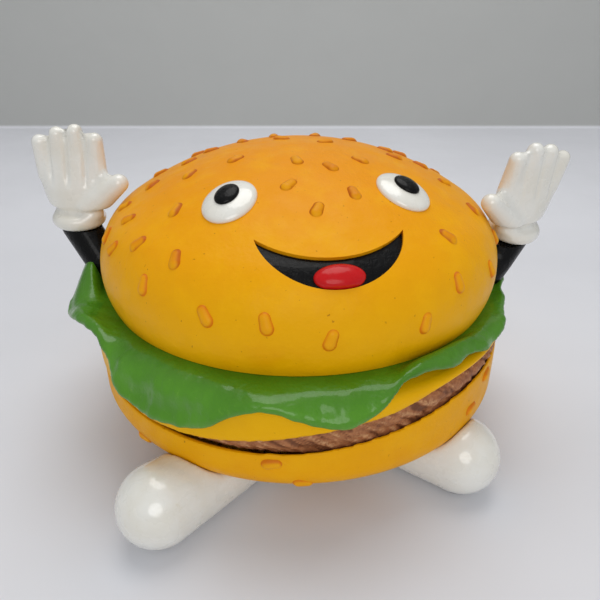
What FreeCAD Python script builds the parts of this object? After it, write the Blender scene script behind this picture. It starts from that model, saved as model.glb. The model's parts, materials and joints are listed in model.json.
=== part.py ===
import FreeCAD, Part
import math
import os

# Flip-open hamburger telephone, in millimetres: +Z up, front towards -Y, origin on the table under its axis.
# The upper half (bun, lettuce, arms) is the lid with the earpiece; the lower half holds keypad and microphone.
# An azimuth is counted in degrees from the front towards +X.

V = FreeCAD.Vector
UP = V(0, 0, 1)

# Clearances
fit_gap = 0.1           # between pieces that are fastened together
key_gap = 0.3           # round keys and slide knobs
run_gap = 0.5           # between the lid and the base, and between hinge knuckles
skirt_gap = 0.45        # between the patty and the cheese that hangs round it
bore_gap = 0.05         # radial play of the hinge pin and the hook plunger

# Heights of the base, from the table up
pad_height = 1.0
bowl_bottom_z = 12.2
bowl_wide_z = 25.1
patty_bottom_z = 30.0
patty_height = 16.2
plate_thickness = 2.0
cheese_thickness = 2.3

# Heights of the lid, counted from the cheese
lid_plate_thickness = 2.0
lettuce_root = 1.8
tuck_height = 9.6
crown_height = 35.2

# Radii of the burger, counted from the bun
bun_radius = 65.0
bun_shoulder = 22.0     # radius of the arc between the side and the crown
bun_wall = 2.6
seam_tuck = 2.0
seam_radius = bun_radius - seam_tuck
patty_step = 4.2
patty_radius = seam_radius + patty_step
patty_wall = 7.0
patty_ledge = 2.4
patty_inner = patty_radius - patty_wall
bowl_step = 1.6
bowl_radius = patty_radius + bowl_step
bowl_flat_radius = 0.525 * bowl_radius
bowl_shoulder = 8.0     # radius of the arc between the underside and the side
bowl_rim_lip = 0.7
bowl_wall = 2.6
cheese_skirt = 1.8
cheese_shelf = 4.2
cheese_opening = patty_inner - cheese_shelf

# Waves of the draped pieces: azimuth, depth of the droop, half width, and for the lettuce the outward flare
lettuce_lobes = ((-30.5, 13.5, 15.5, 1), (9, 7.5, 10.5, 1), (-8, 2.4, 8, 0), (33, -2.4, 14, 0),
                 (58, 0.4, 30, -1.6), (-70, -1.5, 16, 5.5), (-90, 4, 12, 0), (92, 3.6, 12, 0),
                 (120, 5, 16, 2), (-125, 5, 18, 3))
lettuce_edge_drop = 0.2
lettuce_reach = 5.2     # of the lettuce's edge from the seam
lettuce_half = 1.6
lobe_power = 4
cheese_corners = ((-38, 12.4, 48), (100, 4.5, 30), (-128, 5, 30))
cheese_edge_drop = 1.6
corner_power = 2
rim_humps = ((70, 8.2, 55), (-125, 5, 40))
rim_low_z = 31.0
hump_power = 3
hinge_relief = 24.0     # half width of the stretch at the rear that is cut back for the hinge

# Hinge
hinge_reach = 7.4       # of the hinge axis from the patty
hinge_y = patty_radius + hinge_reach
pin_radius = 1.5
knuckle_radius = 4.2
knuckle_half = 10.5
outer_knuckle = 8.0
leaf_thickness = 1.6
base_leaf_thickness = 3.0

# Keypad
key_columns = (-15.5, 0.0, 15.5)
key_rows = (25.0, 12.5, 0.0, -12.5)
key_names = (("1", "2", "3"), ("4", "5", "6"), ("7", "8", "9"), ("star", "0", "hash"))
key_width = 10.0
key_depth = 8.0
key_rise = 2.0
key_flange = 1.0
key_travel = 1.5
key_stem_radius = 2.0
function_keys = (("redial", -10.0), ("flash", 10.0))
function_row = -25.0
function_width = 12.0
function_depth = 5.0

# Screws
screw_radius = 1.4
screw_head_radius = 2.7
screw_head_height = 1.6
boss_radius = 4.0
short_screw = 7.0
long_screw = 11.0
post_margin = 4.2       # of the base's screw bosses from the patty
lid_post_place = 0.508 * seam_radius
base_post_place = (patty_inner - post_margin - boss_radius) / math.sqrt(2)

# Electrical pieces
board_thickness = 1.6
board_margin = 1.5      # of the board from the base's screw bosses
board_half_x = base_post_place - boss_radius - board_margin
board_y = (-32.0, 43.0)
mat_thickness = 1.0
hook_y = 36.0
hook_radius = 2.5
hook_collar = 1.2
hook_travel = 4.0
board_drop = hook_travel + hook_collar + 2 * run_gap    # from the keypad plate's underside to the board's top
knob_travel = 4.0
switch_places = (("ringer", -25.5), ("dial", 25.5))
switch_y = 6.0
microphone_y = -44.0
microphone_radius = 4.9
microphone_height = 6.5
receiver_y = 6.0
receiver_radius = 17.0
receiver_height = 9.0
gasket_thickness = 1.0
clamp_thickness = 1.6
ringer_y = 16.0
ringer_radius = 15.0
ringer_height = 6.6
jack_width = 12.4
jack_depth = 16.0
jack_height = 9.4
jack_rear_y = bowl_flat_radius + 0.4
jack_wall = 1.3
ballast_size = (46.0, 20.0, 4.0)
ballast_y = -10.0

# Face, on the crown of the bun, turned a little towards +X
face_azimuth = 10.0
eye_azimuth = 38.0      # of each eye from the middle of the face
eye_tilt = 66.5         # slope of the crown under the eyes
eye_half = (7.4, 8.4, 2.6)
pupil_half = (3.2, 4.0, 1.3)
mouth_tilt = 57.0
mouth_half_width = 19.5
mouth_corner = 8.0
mouth_low = -9.0
mouth_high = -0.5
mouth_sink = 1.2
tongue_half = (6.5, 3.6)
tongue_low = -5.6

# Seeds: on the bun's front as rows of slope and azimuths, on its back as slope and count,
# on the bowl as azimuth and height over its widest place
seed_length = 6.4
seed_blunt = 2.05
seed_tip = 1.8
seed_rise = 1.0
seed_rows = ((5, (7, 30)), (16, (-21, -7, 60)), (24, (-40, 42, 77)), (33, (-70, -60)), (48, (-49, -33, -15)),
             (56, (-77, -64, 47, 74)), (62, (-97, -80, -47, 84)), (66, (7, 96)), (69, (-92, -67, 25)),
             (72, (-107, -5, 91, 109)), (77, (-122, -58, 24, 55, 130)), (80, (-150, -2, 162)),
             (85, (-139, 104)))
back_rows = ((12, 7), (46, 6), (58, 5), (68, 4))
back_azimuths = (112.0, 248.0)
seed_free = 12.5        # distance kept from eyes and mouth
bowl_seeds = ((-43, -4.1), (-6, 3.4), (1, -4.1), (49, 3.4), (57, 10.5), (95, -4.1), (135, 4), (-95, -4.1),
              (-140, 3.4))

# Arms and gloves: outwards from the bun or the seam, forwards, and above the seam
arm_y = -6.0
arm_root_out = 0.6
arm_root_rise = 1.1
arm_bend_out = 1.4
arm_bend_rise = 7.9
hand_y = -1.0
hand_out = {"left": 8.2, "right": 6.8}
hand_rise = {"left": 17.6, "right": 14.3}
hand_lean = {"left": -2.0, "right": 4.0}    # degrees outwards
hand_nod = {"left": 0.0, "right": 12.0}     # degrees forwards
hand_turn = {"left": 4.0, "right": 22.0}    # degrees about the hand's own axis
arm_radius = 5.6
stub_radius = 4.2
stub_length = 7.0
cuff_radius = 8.0
cuff_roll = 2.7
palm_half = 11.0
palm_thick = 5.6
hand_length = 33.2
finger_lengths = (0.89, 0.97, 1.0, 0.93)    # of the hand's length
finger_radius = 3.0
peg_radius = 3.0
peg_rise = 7.4

# Feet
toes = {"left": (-30.5, 8.7, 40.0, 46.0), "right": (47.0, 0.1, 42.0, 59.0)}  # azimuth, reach, length, turn
toe_radius = 12.0
heel_radius = 9.5
rear_foot_place = (0.344 * bowl_radius, 0.603 * bowl_radius)
rear_foot_radius = 8.0
pad_radius = 5.0
foot_boss_rise = 3.2

# Heights worked out from the stack
patty_top_z = patty_bottom_z + patty_height
plate_low_z = patty_top_z - plate_thickness
cheese_low_z = patty_top_z + fit_gap
cheese_top_z = cheese_low_z + cheese_thickness
lid_low_z = cheese_top_z + run_gap
lid_top_z = lid_low_z + lid_plate_thickness
lettuce_low_z = lid_top_z + fit_gap
lettuce_top_z = lettuce_low_z + lettuce_root
seam_z = lettuce_top_z + fit_gap
bun_wide_z = seam_z + tuck_height
hinge_z = lid_low_z + 0.9
board_top_z = plate_low_z - board_drop
board_low_z = board_top_z - board_thickness
mat_top_z = board_top_z + mat_thickness
key_flange_low_z = plate_low_z - key_gap - key_flange
floor_z = bowl_bottom_z + bowl_wall

# Radii worked out from their neighbours
keypad_radius = patty_inner + patty_ledge - fit_gap
rim_inner = patty_radius + 3 * fit_gap
peg_end_x = seam_radius - bun_wall - 1.5
peg_z = seam_z + peg_rise
arm_bend_x = bun_radius + arm_bend_out
cheese_inner = patty_radius + skirt_gap
cheese_outer = cheese_inner + cheese_skirt


def ring_point(radius, azimuth, z):
    a = math.radians(azimuth)
    return V(radius * math.sin(a), -radius * math.cos(a), z)


def cylinder(radius, z_low, z_high, x=0.0, y=0.0):
    return Part.makeCylinder(radius, z_high - z_low, V(x, y, z_low))


def tube(outer, inner, z_low, z_high, x=0.0, y=0.0):
    return cylinder(outer, z_low, z_high, x, y).cut(cylinder(inner, z_low, z_high, x, y))


def box(x_size, y_size, z_low, z_high, x=0.0, y=0.0):
    return Part.makeBox(x_size, y_size, z_high - z_low, V(x - x_size / 2, y - y_size / 2, z_low))


def rounded_box(x_size, y_size, z_low, z_high, x, y, corner):
    solid = box(x_size, y_size, z_low, z_high, x, y)
    upright = [e for e in solid.Edges if abs(e.tangentAt(e.FirstParameter).z) > 0.9]
    return solid.makeFillet(corner, upright)


def x_cylinder(radius, x_low, x_high, y, z):
    return Part.makeCylinder(radius, x_high - x_low, V(x_low, y, z), V(1, 0, 0))


def revolve(edges):
    return Part.Face(Part.Wire(edges)).revolve(V(0, 0, 0), UP, 360)


def line(a, b):
    return Part.LineSegment(V(*a), V(*b)).toShape()


def arc_point(centre_r, centre_z, radius, angle):
    return V(centre_r + radius * math.cos(angle), 0, centre_z + radius * math.sin(angle))


def arc_edge(centre_r, centre_z, radius, start, end):
    """Arc in the profile plane between two angles in radians."""
    ends = [arc_point(centre_r, centre_z, radius, a) for a in (start, (start + end) / 2, end)]
    return Part.Arc(*ends).toShape()


def polygon_revolve(points):
    corners = [(r, 0, z) for r, z in points]
    return revolve([line(a, b) for a, b in zip(corners, corners[1:] + corners[:1])])


def mirrored(shape):
    return shape.mirror(V(0, 0, 0), V(1, 0, 0))


def union(first, others):
    return first.fuse(others).removeSplitter()


def frame_matrix(x_axis, y_axis, z_axis, place):
    return FreeCAD.Matrix(
        x_axis.x, y_axis.x, z_axis.x, place.x,
        x_axis.y, y_axis.y, z_axis.y, place.y,
        x_axis.z, y_axis.z, z_axis.z, place.z,
        0, 0, 0, 1)


def capsule(start, end, start_radius, end_radius):
    """Tapered rod with round ends, a revolve of two arcs and their common tangent."""
    axis = end - start
    lean = math.asin((start_radius - end_radius) / axis.Length)
    near = [arc_point(0, 0, start_radius, a) for a in (-math.pi / 2, (lean - math.pi / 2) / 2, lean)]
    far = [arc_point(0, axis.Length, end_radius, a) for a in (lean, (lean + math.pi / 2) / 2, math.pi / 2)]
    side = [Part.Arc(*near).toShape(), line(near[2], far[0]), Part.Arc(*far).toShape(), line(far[2], near[0])]
    rod = revolve(side)
    rod.Placement = FreeCAD.Placement(start, FreeCAD.Rotation(UP, axis))
    return rod


def ellipsoid(half, matrix):
    """Ellipsoid with three half axes, carried to a local frame."""
    stretch = FreeCAD.Matrix()
    stretch.scale(*half)
    return Part.makeSphere(1).transformGeometry(matrix.multiply(stretch))


def waves(azimuth, lobes, power, column):
    """Sum of smooth humps round the ring; the column picks droop or flare."""
    total = 0.0
    for lobe in lobes:
        away = abs((azimuth - lobe[0] + 180) % 360 - 180)
        total += lobe[column] * math.exp(-(away / lobe[2]) ** power)
    return total


def ring_solid(strips_at, sections):
    """Closed ring from strips of poles in (radius, z); neighbouring strips share their end poles."""
    rings = [strips_at(360.0 * i / sections) for i in range(sections)]
    knots = list(range(sections + 1))
    faces = []
    for number in range(len(rings[0])):
        poles = []
        for i, strips in enumerate(rings):
            poles.append([ring_point(r, 360.0 * i / sections, z) for r, z in strips[number]])
        across = len(poles[0])
        surface = Part.BSplineSurface()
        surface.buildFromPolesMultsKnots(
            poles, [1] * (sections + 1), [across, across], knots, [0, 1], True, False, 3, across - 1)
        faces.append(surface.toShape())
    shell = Part.Shell(faces)
    shell.sewShape()
    solid = Part.Solid(shell)
    if solid.Volume < 0:
        solid.reverse()
    return solid


def screw(x, y, seat_z, tip_z):
    """Pan-head screw whose head lies below its seat when the tip is above it, and on it otherwise."""
    rise = math.copysign(screw_head_height, seat_z - tip_z)
    head = cylinder(screw_head_radius, min(seat_z, seat_z + rise), max(seat_z, seat_z + rise), x, y)
    shank = cylinder(screw_radius, min(seat_z, tip_z), max(seat_z, tip_z), x, y)
    return head.fuse(shank).removeSplitter()


def flat_radius(width, height, shoulder):
    """Radius of the flatter arc of a quarter oval whose other arc is the shoulder."""
    return ((width - shoulder) ** 2 + height ** 2 - shoulder ** 2) / (2 * (height - shoulder))


# Top bun, a revolve of three tangent arcs: tuck, shoulder and crown

crown_radius = flat_radius(bun_radius, crown_height, bun_shoulder)
crown_centre_z = bun_wide_z + crown_height - crown_radius
crown_turn = math.atan2(bun_wide_z - crown_centre_z, bun_radius - bun_shoulder)
tuck_radius = ((bun_radius - seam_radius) ** 2 + tuck_height ** 2) / (2 * (bun_radius - seam_radius))


def bun_foot_radius(inset):
    """Radius of the bun's skin, moved inwards by the inset, at the seam."""
    return bun_radius - tuck_radius + math.sqrt((tuck_radius - inset) ** 2 - tuck_height ** 2)


plug_wall = 2.0
plug_radius = bun_foot_radius(bun_wall) - fit_gap
lettuce_inner = plug_radius + fit_gap


def top_bun_solid(inset):
    """The bun filled solid, its skin moved inwards by the inset."""
    top = bun_wide_z + crown_height - inset
    tuck_turn = math.asin(tuck_height / (tuck_radius - inset))
    tuck = arc_edge(bun_radius - tuck_radius, bun_wide_z, tuck_radius - inset, -tuck_turn, 0)
    shoulder = arc_edge(bun_radius - bun_shoulder, bun_wide_z, bun_shoulder - inset, 0, crown_turn)
    crown = arc_edge(0, crown_centre_z, crown_radius - inset, crown_turn, math.pi / 2)
    foot = (bun_foot_radius(inset), 0, seam_z)
    return revolve([line((0, 0, seam_z), foot), tuck, shoulder, crown, line((0, 0, top), (0, 0, seam_z))])


def crown_frame(azimuth, angle, inset=0.0):
    """Local frame on the crown: X level, Y up the slope, Z outwards; the angle is the slope of the normal."""
    a = math.radians(angle)
    if a < crown_turn:
        spot = arc_point(bun_radius - bun_shoulder, bun_wide_z, bun_shoulder - inset, a)
    else:
        spot = arc_point(0, crown_centre_z, crown_radius - inset, a)
    normal = ring_point(math.cos(a), azimuth, math.sin(a))
    level = ring_point(1, azimuth + 90, 0)
    return frame_matrix(level, normal.cross(level), normal, ring_point(spot.x, azimuth, spot.z))


def post_places(distance):
    return [(sx * distance, sy * distance) for sx in (-1, 1) for sy in (-1, 1)]


def mouth_prism(grow):
    """Crescent smile, grown all round, drawn through the bun along the mouth's own normal."""
    back = -mouth_half_width
    left = V(-mouth_half_width - grow, mouth_corner + 3 * grow, back)
    right = V(mouth_half_width + grow, mouth_corner + 3 * grow, back)
    low = Part.Arc(left, V(0, mouth_low - grow, back), right).toShape()
    high = Part.Arc(right, V(0, mouth_high + grow, back), left).toShape()
    prism = Part.Face(Part.Wire([low, high])).extrude(V(0, 0, 2 * mouth_half_width))
    prism.transformShape(crown_frame(face_azimuth, mouth_tilt))
    return prism


def make_top_bun():
    shell = top_bun_solid(0).cut(top_bun_solid(bun_wall))
    trim = top_bun_solid(bun_wall / 2)
    posts = [cylinder(boss_radius, seam_z, bun_wide_z + crown_height, x, y).common(trim)
             for x, y in post_places(lid_post_place)]
    holes = [cylinder(screw_radius + bore_gap, seam_z, seam_z + long_screw, x, y)
             for x, y in post_places(lid_post_place)]
    peg_hole = x_cylinder(peg_radius + fit_gap, 0.8 * seam_radius, arm_bend_x, arm_y, peg_z)
    return union(shell, posts).cut(holes + [peg_hole, mirrored(peg_hole), mouth_prism(0)])


def eye_azimuths():
    return {"left": face_azimuth - eye_azimuth, "right": face_azimuth + eye_azimuth}


def bun_seed_frames():
    """Frame and turn of each seed on the bun that keeps off the face."""
    mouth_step = math.degrees(mouth_half_width / bun_radius)
    face = [(azimuth, eye_tilt) for azimuth in eye_azimuths().values()]
    face += [(face_azimuth + side * mouth_step, mouth_tilt) for side in (-1, 0, 1)]
    keep_off = [crown_frame(*place).multiply(V(0, 0, 0)) for place in face]
    places = [(slope, azimuth) for slope, azimuths in seed_rows for azimuth in azimuths]
    first, last = back_azimuths
    for slope, count in back_rows:
        step = (last - first) / (count - 1)
        places += [(slope, first + i * step) for i in range(count)]
    frames = []
    for slope, azimuth in places:
        frame = crown_frame(azimuth, slope)
        spot = frame.multiply(V(0, 0, 0))
        if min(spot.distanceToPoint(p) for p in keep_off) > seed_free:
            frames.append((frame, 90 + 35 * math.sin(azimuth + slope)))
    return frames


def seed(frame, turn):
    """Drop-shaped seed, sunk so that it stands proud by its rise."""
    depth = seed_rise - seed_blunt
    drop = capsule(V(seed_blunt - seed_length / 2, 0, depth), V(seed_length / 2 - seed_tip, 0, depth),
                   seed_blunt, seed_tip)
    twist = FreeCAD.Matrix()
    twist.rotateZ(math.radians(turn))
    drop.transformShape(frame.multiply(twist))
    return drop


def make_top_seeds():
    filled = top_bun_solid(0)
    return Part.makeCompound([seed(frame, turn).cut(filled) for frame, turn in bun_seed_frames()])


# Lettuce, lid plate and earpiece

def drape(start, corner, edge, half_start, half_end):
    """Upper poles, tip poles and lower poles of a sheet that leaves level and hangs to its edge."""
    along = V(edge[0] - corner[0], 0, edge[1] - corner[1])
    if along.Length < 0.5:
        along = V(edge[0] - start[0], 0, edge[1] - start[1])
    along.normalize()
    out = V(-along.z, 0, along.x)
    upper = [(start[0], start[1] + half_start), (corner[0] + out.x * half_end, corner[1] + half_start),
             (edge[0] + out.x * half_end, edge[1] + out.z * half_end)]
    lower = [(edge[0] - out.x * half_end, edge[1] - out.z * half_end),
             (corner[0] - out.x * half_end, corner[1] - half_start), (start[0], start[1] - half_start)]
    beyond = (edge[0] + along.x * 2 * half_end, edge[1] + along.z * 2 * half_end)
    return upper, [upper[-1], beyond, lower[0]], lower


def make_lettuce():
    root_end = seam_radius + 1.0
    middle = (lettuce_low_z + lettuce_top_z) / 2
    half = lettuce_root / 2
    corner_least = cheese_outer + 2 * run_gap + lettuce_half

    def strips(azimuth):
        droop = waves(azimuth, lettuce_lobes, lobe_power, 1)
        flare = waves(azimuth, lettuce_lobes, lobe_power, 3)
        edge_r = seam_radius + lettuce_reach + flare
        hang = 1 - math.exp(-max(droop, 0) / 1.8)
        corner_r = (1 - hang) * (root_end + edge_r) / 2 + hang * max(edge_r + 0.6, corner_least)
        edge_r = (1 - hang) * edge_r + hang * max(edge_r, corner_least)
        edge = (edge_r, seam_z - lettuce_edge_drop - droop + 0.15 * flare * (1 - hang))
        corner = (corner_r, middle + 0.6 * (1 - hang) - 0.05 * droop)
        upper, tip, lower = drape((root_end, middle), corner, edge, half, lettuce_half)
        inner_top = (lettuce_inner, lettuce_top_z)
        inner_low = (lettuce_inner, lettuce_low_z)
        return [[inner_low, inner_top], [inner_top, upper[0]], upper, tip, lower, [lower[-1], inner_low]]

    ring = ring_solid(strips, 72)
    notch = box(2 * hinge_relief, 2 * hinge_y, 0, 2 * seam_z, 0, lettuce_inner + 1 + hinge_y)
    leaf_way = box(2 * (knuckle_half + run_gap), hinge_y, 0, 2 * seam_z, 0, hinge_y)
    return ring.cut([notch, leaf_way])


def grille_places():
    pitch = 4.2
    places = []
    for row in range(-2, 3):
        for column in range(-2, 3):
            x = (column + 0.5 * (row % 2)) * pitch
            y = row * pitch * math.sqrt(3) / 2
            if math.hypot(x, y) < 2.2 * pitch:
                places.append((x, receiver_y + y))
    return places


def receiver_posts():
    reach = receiver_radius + boss_radius + 1.0
    return (-reach, reach)


def receiver_top_z():
    return lid_top_z + gasket_thickness + fit_gap + receiver_height


def make_lid_plate():
    disc = cylinder(seam_radius, lid_low_z, lid_top_z)
    plug = tube(plug_radius, plug_radius - plug_wall, lid_top_z, seam_z + 2.5)
    leaf_way = box(2 * (knuckle_half + run_gap), hinge_y, lid_top_z, seam_z + 5, 0, hinge_y)
    bosses = [cylinder(boss_radius, lid_top_z, seam_z - fit_gap, x, y) for x, y in post_places(lid_post_place)]
    bosses += [cylinder(boss_radius, lid_top_z, receiver_top_z(), x, receiver_y) for x in receiver_posts()]
    plate = union(disc, [plug.cut(leaf_way)] + bosses)
    cuts = [cylinder(1.0, lid_low_z, lid_top_z, x, y) for x, y in grille_places()]
    cuts.append(cylinder(receiver_radius - 2, lid_low_z, lid_low_z + 0.5, 0, receiver_y))
    head_seat_z = lid_low_z + screw_head_height + fit_gap
    for x, y in post_places(lid_post_place):
        cuts.append(cylinder(screw_radius + fit_gap, lid_low_z, seam_z, x, y))
        cuts.append(cylinder(screw_head_radius + fit_gap, lid_low_z, head_seat_z, x, y))
    for x in receiver_posts():
        cuts.append(cylinder(screw_radius + bore_gap, lid_top_z + 2, receiver_top_z(), x, receiver_y))
    for x in leaf_screw_places():
        cuts.append(cylinder(screw_radius + bore_gap, lid_top_z - 1.2, lid_top_z, x, leaf_screw_y()))
    return plate.cut(cuts)


def make_lid_screws():
    """All screws of the lid: plate to bun, earpiece clamp, hinge leaf and arms."""
    plate_seat = lid_low_z + screw_head_height + fit_gap
    clamp_seat = receiver_top_z() + clamp_thickness
    leaf_seat = lettuce_low_z + leaf_thickness
    screws = [screw(x, y, plate_seat, plate_seat + long_screw) for x, y in post_places(lid_post_place)]
    screws += [screw(x, receiver_y, clamp_seat, clamp_seat - short_screw) for x in receiver_posts()]
    screws += [screw(x, leaf_screw_y(), leaf_seat, lid_top_z - 1.0) for x in leaf_screw_places()]
    head = x_cylinder(peg_radius + 1.0, peg_end_x - screw_head_height, peg_end_x, arm_y, peg_z)
    shank = x_cylinder(screw_radius, peg_end_x, arm_bend_x - 3, arm_y, peg_z)
    arm_screw = union(head, [shank])
    return Part.makeCompound(screws + [arm_screw, mirrored(arm_screw)])


def make_receiver():
    low = lid_top_z + gasket_thickness + fit_gap
    body = cylinder(receiver_radius, low, low + 0.6 * receiver_height, 0, receiver_y)
    magnet = cylinder(0.7 * receiver_radius, low, low + receiver_height - fit_gap, 0, receiver_y)
    return union(body, [magnet])


def make_receiver_gasket():
    return tube(receiver_radius - 0.5, receiver_radius - 4, lid_top_z, lid_top_z + gasket_thickness,
                0, receiver_y)


def make_receiver_clamp():
    low = receiver_top_z()
    top = low + clamp_thickness
    bar = box(2 * receiver_posts()[1], 2 * boss_radius, low, top, 0, receiver_y)
    ends = [cylinder(boss_radius, low, top, x, receiver_y) for x in receiver_posts()]
    holes = [cylinder(screw_radius + fit_gap, low, top, x, receiver_y) for x in receiver_posts()]
    return union(bar, ends).cut(holes)


# Hinge

def leaf_screw_places():
    return (-6.0, 6.0)


def leaf_screw_y():
    return plug_radius - plug_wall - 5.0


def make_lid_hinge_leaf():
    low = lettuce_low_z
    start = leaf_screw_y() - 5.0
    leaf = box(2 * knuckle_half, hinge_y - start, low, low + leaf_thickness, 0, (hinge_y + start) / 2)
    barrel = x_cylinder(knuckle_radius, -knuckle_half, knuckle_half, hinge_y, hinge_z)
    holes = [cylinder(screw_radius + fit_gap, low, low + leaf_thickness, x, leaf_screw_y())
             for x in leaf_screw_places()]
    holes.append(x_cylinder(pin_radius + bore_gap, -2 * hinge_y, 2 * hinge_y, hinge_y, hinge_z))
    return union(leaf, [barrel]).cut(holes)


def base_leaf_span():
    inner = knuckle_half + run_gap
    return inner, inner + outer_knuckle


def base_leaf_flat_y():
    return patty_radius - base_leaf_thickness


def base_leaf_low_z():
    return patty_top_z - 8.5


def make_base_hinge_leaf():
    inner, outer = base_leaf_span()
    seat = base_leaf_flat_y() + fit_gap
    plate = box(2 * outer, base_leaf_thickness, base_leaf_low_z() + fit_gap, patty_top_z, 0,
                seat + base_leaf_thickness / 2)
    pieces = []
    for low in (-outer, inner):
        front = seat + base_leaf_thickness / 2
        side = [(front, base_leaf_low_z() + 1), (front, patty_top_z),
                (hinge_y - 2, hinge_z + knuckle_radius - 1), (hinge_y + knuckle_radius - 1, hinge_z - 2)]
        corners = [V(low, y, z) for y, z in side]
        web = Part.Face(Part.makePolygon(corners + corners[:1])).extrude(V(outer_knuckle, 0, 0))
        pieces += [web, x_cylinder(knuckle_radius, low, low + outer_knuckle, hinge_y, hinge_z)]
    bore = x_cylinder(pin_radius + bore_gap, -2 * outer, 2 * outer, hinge_y, hinge_z)
    return union(plate, pieces).cut(bore)


def make_hinge_pin():
    outer = base_leaf_span()[1]
    pin = x_cylinder(pin_radius, -outer, outer, hinge_y, hinge_z)
    head = x_cylinder(pin_radius + 0.8, outer, outer + 1.0, hinge_y, hinge_z)
    return union(pin, [head])


# Face

def make_eye(side):
    return ellipsoid(eye_half, crown_frame(eye_azimuths()[side], eye_tilt)).cut(top_bun_solid(0))


def make_pupil(side, eye):
    dot = ellipsoid(pupil_half, crown_frame(eye_azimuths()[side], eye_tilt, -eye_half[2]))
    return dot.cut(eye)


def make_mouth_liner():
    skin = top_bun_solid(mouth_sink).cut(top_bun_solid(bun_wall + fit_gap)).common(mouth_prism(-fit_gap))
    flange = top_bun_solid(bun_wall + fit_gap).cut(top_bun_solid(bun_wall + 1.5)).common(mouth_prism(2))
    return union(skin, [flange])


def make_tongue():
    frame = crown_frame(face_azimuth, mouth_tilt, mouth_sink)
    shift = FreeCAD.Matrix()
    shift.move(V(0, tongue_low, 0))
    bump = ellipsoid((tongue_half[0], tongue_half[1], 2.4), frame.multiply(shift))
    return bump.common(mouth_prism(-3 * fit_gap)).cut(top_bun_solid(mouth_sink))


# Arms and gloves

def hand_matrix(side):
    """Local frame of a hand: origin at the cuff, Z along the fingers, the thumb towards +X."""
    matrix = FreeCAD.Matrix()
    matrix.rotateZ(math.radians(-hand_turn[side]))
    matrix.rotateX(math.radians(hand_nod[side]))
    matrix.rotateY(math.radians(-hand_lean[side]))
    matrix.move(V(-bun_radius - hand_out[side], hand_y, seam_z + hand_rise[side]))
    return matrix


def make_arm(side):
    """Tapered arm that lies against the bun, with a stub for the glove and a peg for its screw."""
    matrix = hand_matrix(side)
    root = V(-seam_radius - arm_root_out, arm_y, seam_z + arm_root_rise)
    bend = V(-arm_bend_x, arm_y, seam_z + arm_bend_rise)
    shoulder = capsule(bend, root, arm_radius, 0.93 * arm_radius)
    forearm = capsule(bend, matrix.multiply(V(0, 0, 0)), arm_radius, 1.08 * arm_radius)
    beyond = box(hand_length, hand_length, -fit_gap, hand_length)
    beyond.transformShape(matrix)
    stub = Part.makeCylinder(stub_radius, stub_length + 1, V(0, 0, -1))
    stub.transformShape(matrix)
    below_seam = box(4 * bun_radius, 4 * bun_radius, 0, seam_z + fit_gap)
    sleeve = union(shoulder, [forearm]).cut([beyond, top_bun_solid(-fit_gap), below_seam])
    peg = mirrored(x_cylinder(peg_radius, peg_end_x, arm_bend_x, arm_y, peg_z))
    pilot = mirrored(x_cylinder(screw_radius + bore_gap, 0, arm_bend_x - 2, arm_y, peg_z))
    return union(sleeve, [stub, peg]).cut(pilot)


def make_glove(side):
    """Open hand: rolled cuff, lofted palm, four close fingers and a thumb."""
    palm_rows = ((0.03, 0.58, 1.0), (0.19, 0.76, 1.05), (0.35, 0.92, 1.0), (0.50, 0.98, 0.85),
                 (0.70, 1.0, 0.62), (0.86, 1.0, 0.48))
    wires = []
    for rise, wide, thick in palm_rows:
        oval = Part.Ellipse(V(0, 0, rise * hand_length), palm_half * wide, palm_thick * thick)
        wires.append(Part.Wire([oval.toShape()]))
    palm = Part.makeLoft(wires, True)
    pitch = (2 * palm_half - 2 * finger_radius + 0.6) / 3
    pieces = []
    tip_radius = 0.85 * finger_radius
    for i, length in enumerate(finger_lengths):
        x = (i - 1.5) * pitch
        knuckle = V(x, 0, 0.5 * hand_length)
        tip = V(1.06 * x, -0.6, length * hand_length - tip_radius)
        pieces.append(capsule(knuckle, tip, finger_radius, tip_radius))
    thumb_root = V(0.45 * palm_half, -2, 0.22 * hand_length)
    thumb_tip = V(1.45 * palm_half, -3, 0.48 * hand_length)
    pieces.append(capsule(thumb_root, thumb_tip, 1.6 * finger_radius, finger_radius))
    cuff = Part.makeTorus(cuff_radius - cuff_roll, cuff_roll, V(0, 0, cuff_roll))
    wrist = Part.makeCylinder(cuff_radius - cuff_roll, 2 * cuff_roll)
    hand = palm.fuse(pieces + [cuff, wrist])
    socket = Part.makeCylinder(stub_radius + fit_gap, stub_length + fit_gap)
    below = box(2 * hand_length, 2 * hand_length, -hand_length, 0)
    hand = hand.cut([socket, below])
    hand.transformShape(hand_matrix(side))
    return hand


# Bottom bun, patty and cheese

def rim_z(azimuth):
    return rim_low_z + waves(azimuth, rim_humps, hump_power, 1)


bowl_under_radius = flat_radius(bowl_radius - bowl_flat_radius, bowl_wide_z - bowl_bottom_z, bowl_shoulder)
bowl_under_z = bowl_bottom_z + bowl_under_radius
bowl_turn = -math.atan2(bowl_under_z - bowl_wide_z, bowl_radius - bowl_shoulder - bowl_flat_radius)
bowl_bulge = bowl_radius - rim_inner - bowl_rim_lip
bowl_side_radius = (bowl_bulge ** 2 + (patty_top_z - bowl_wide_z) ** 2) / (2 * bowl_bulge)


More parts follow.
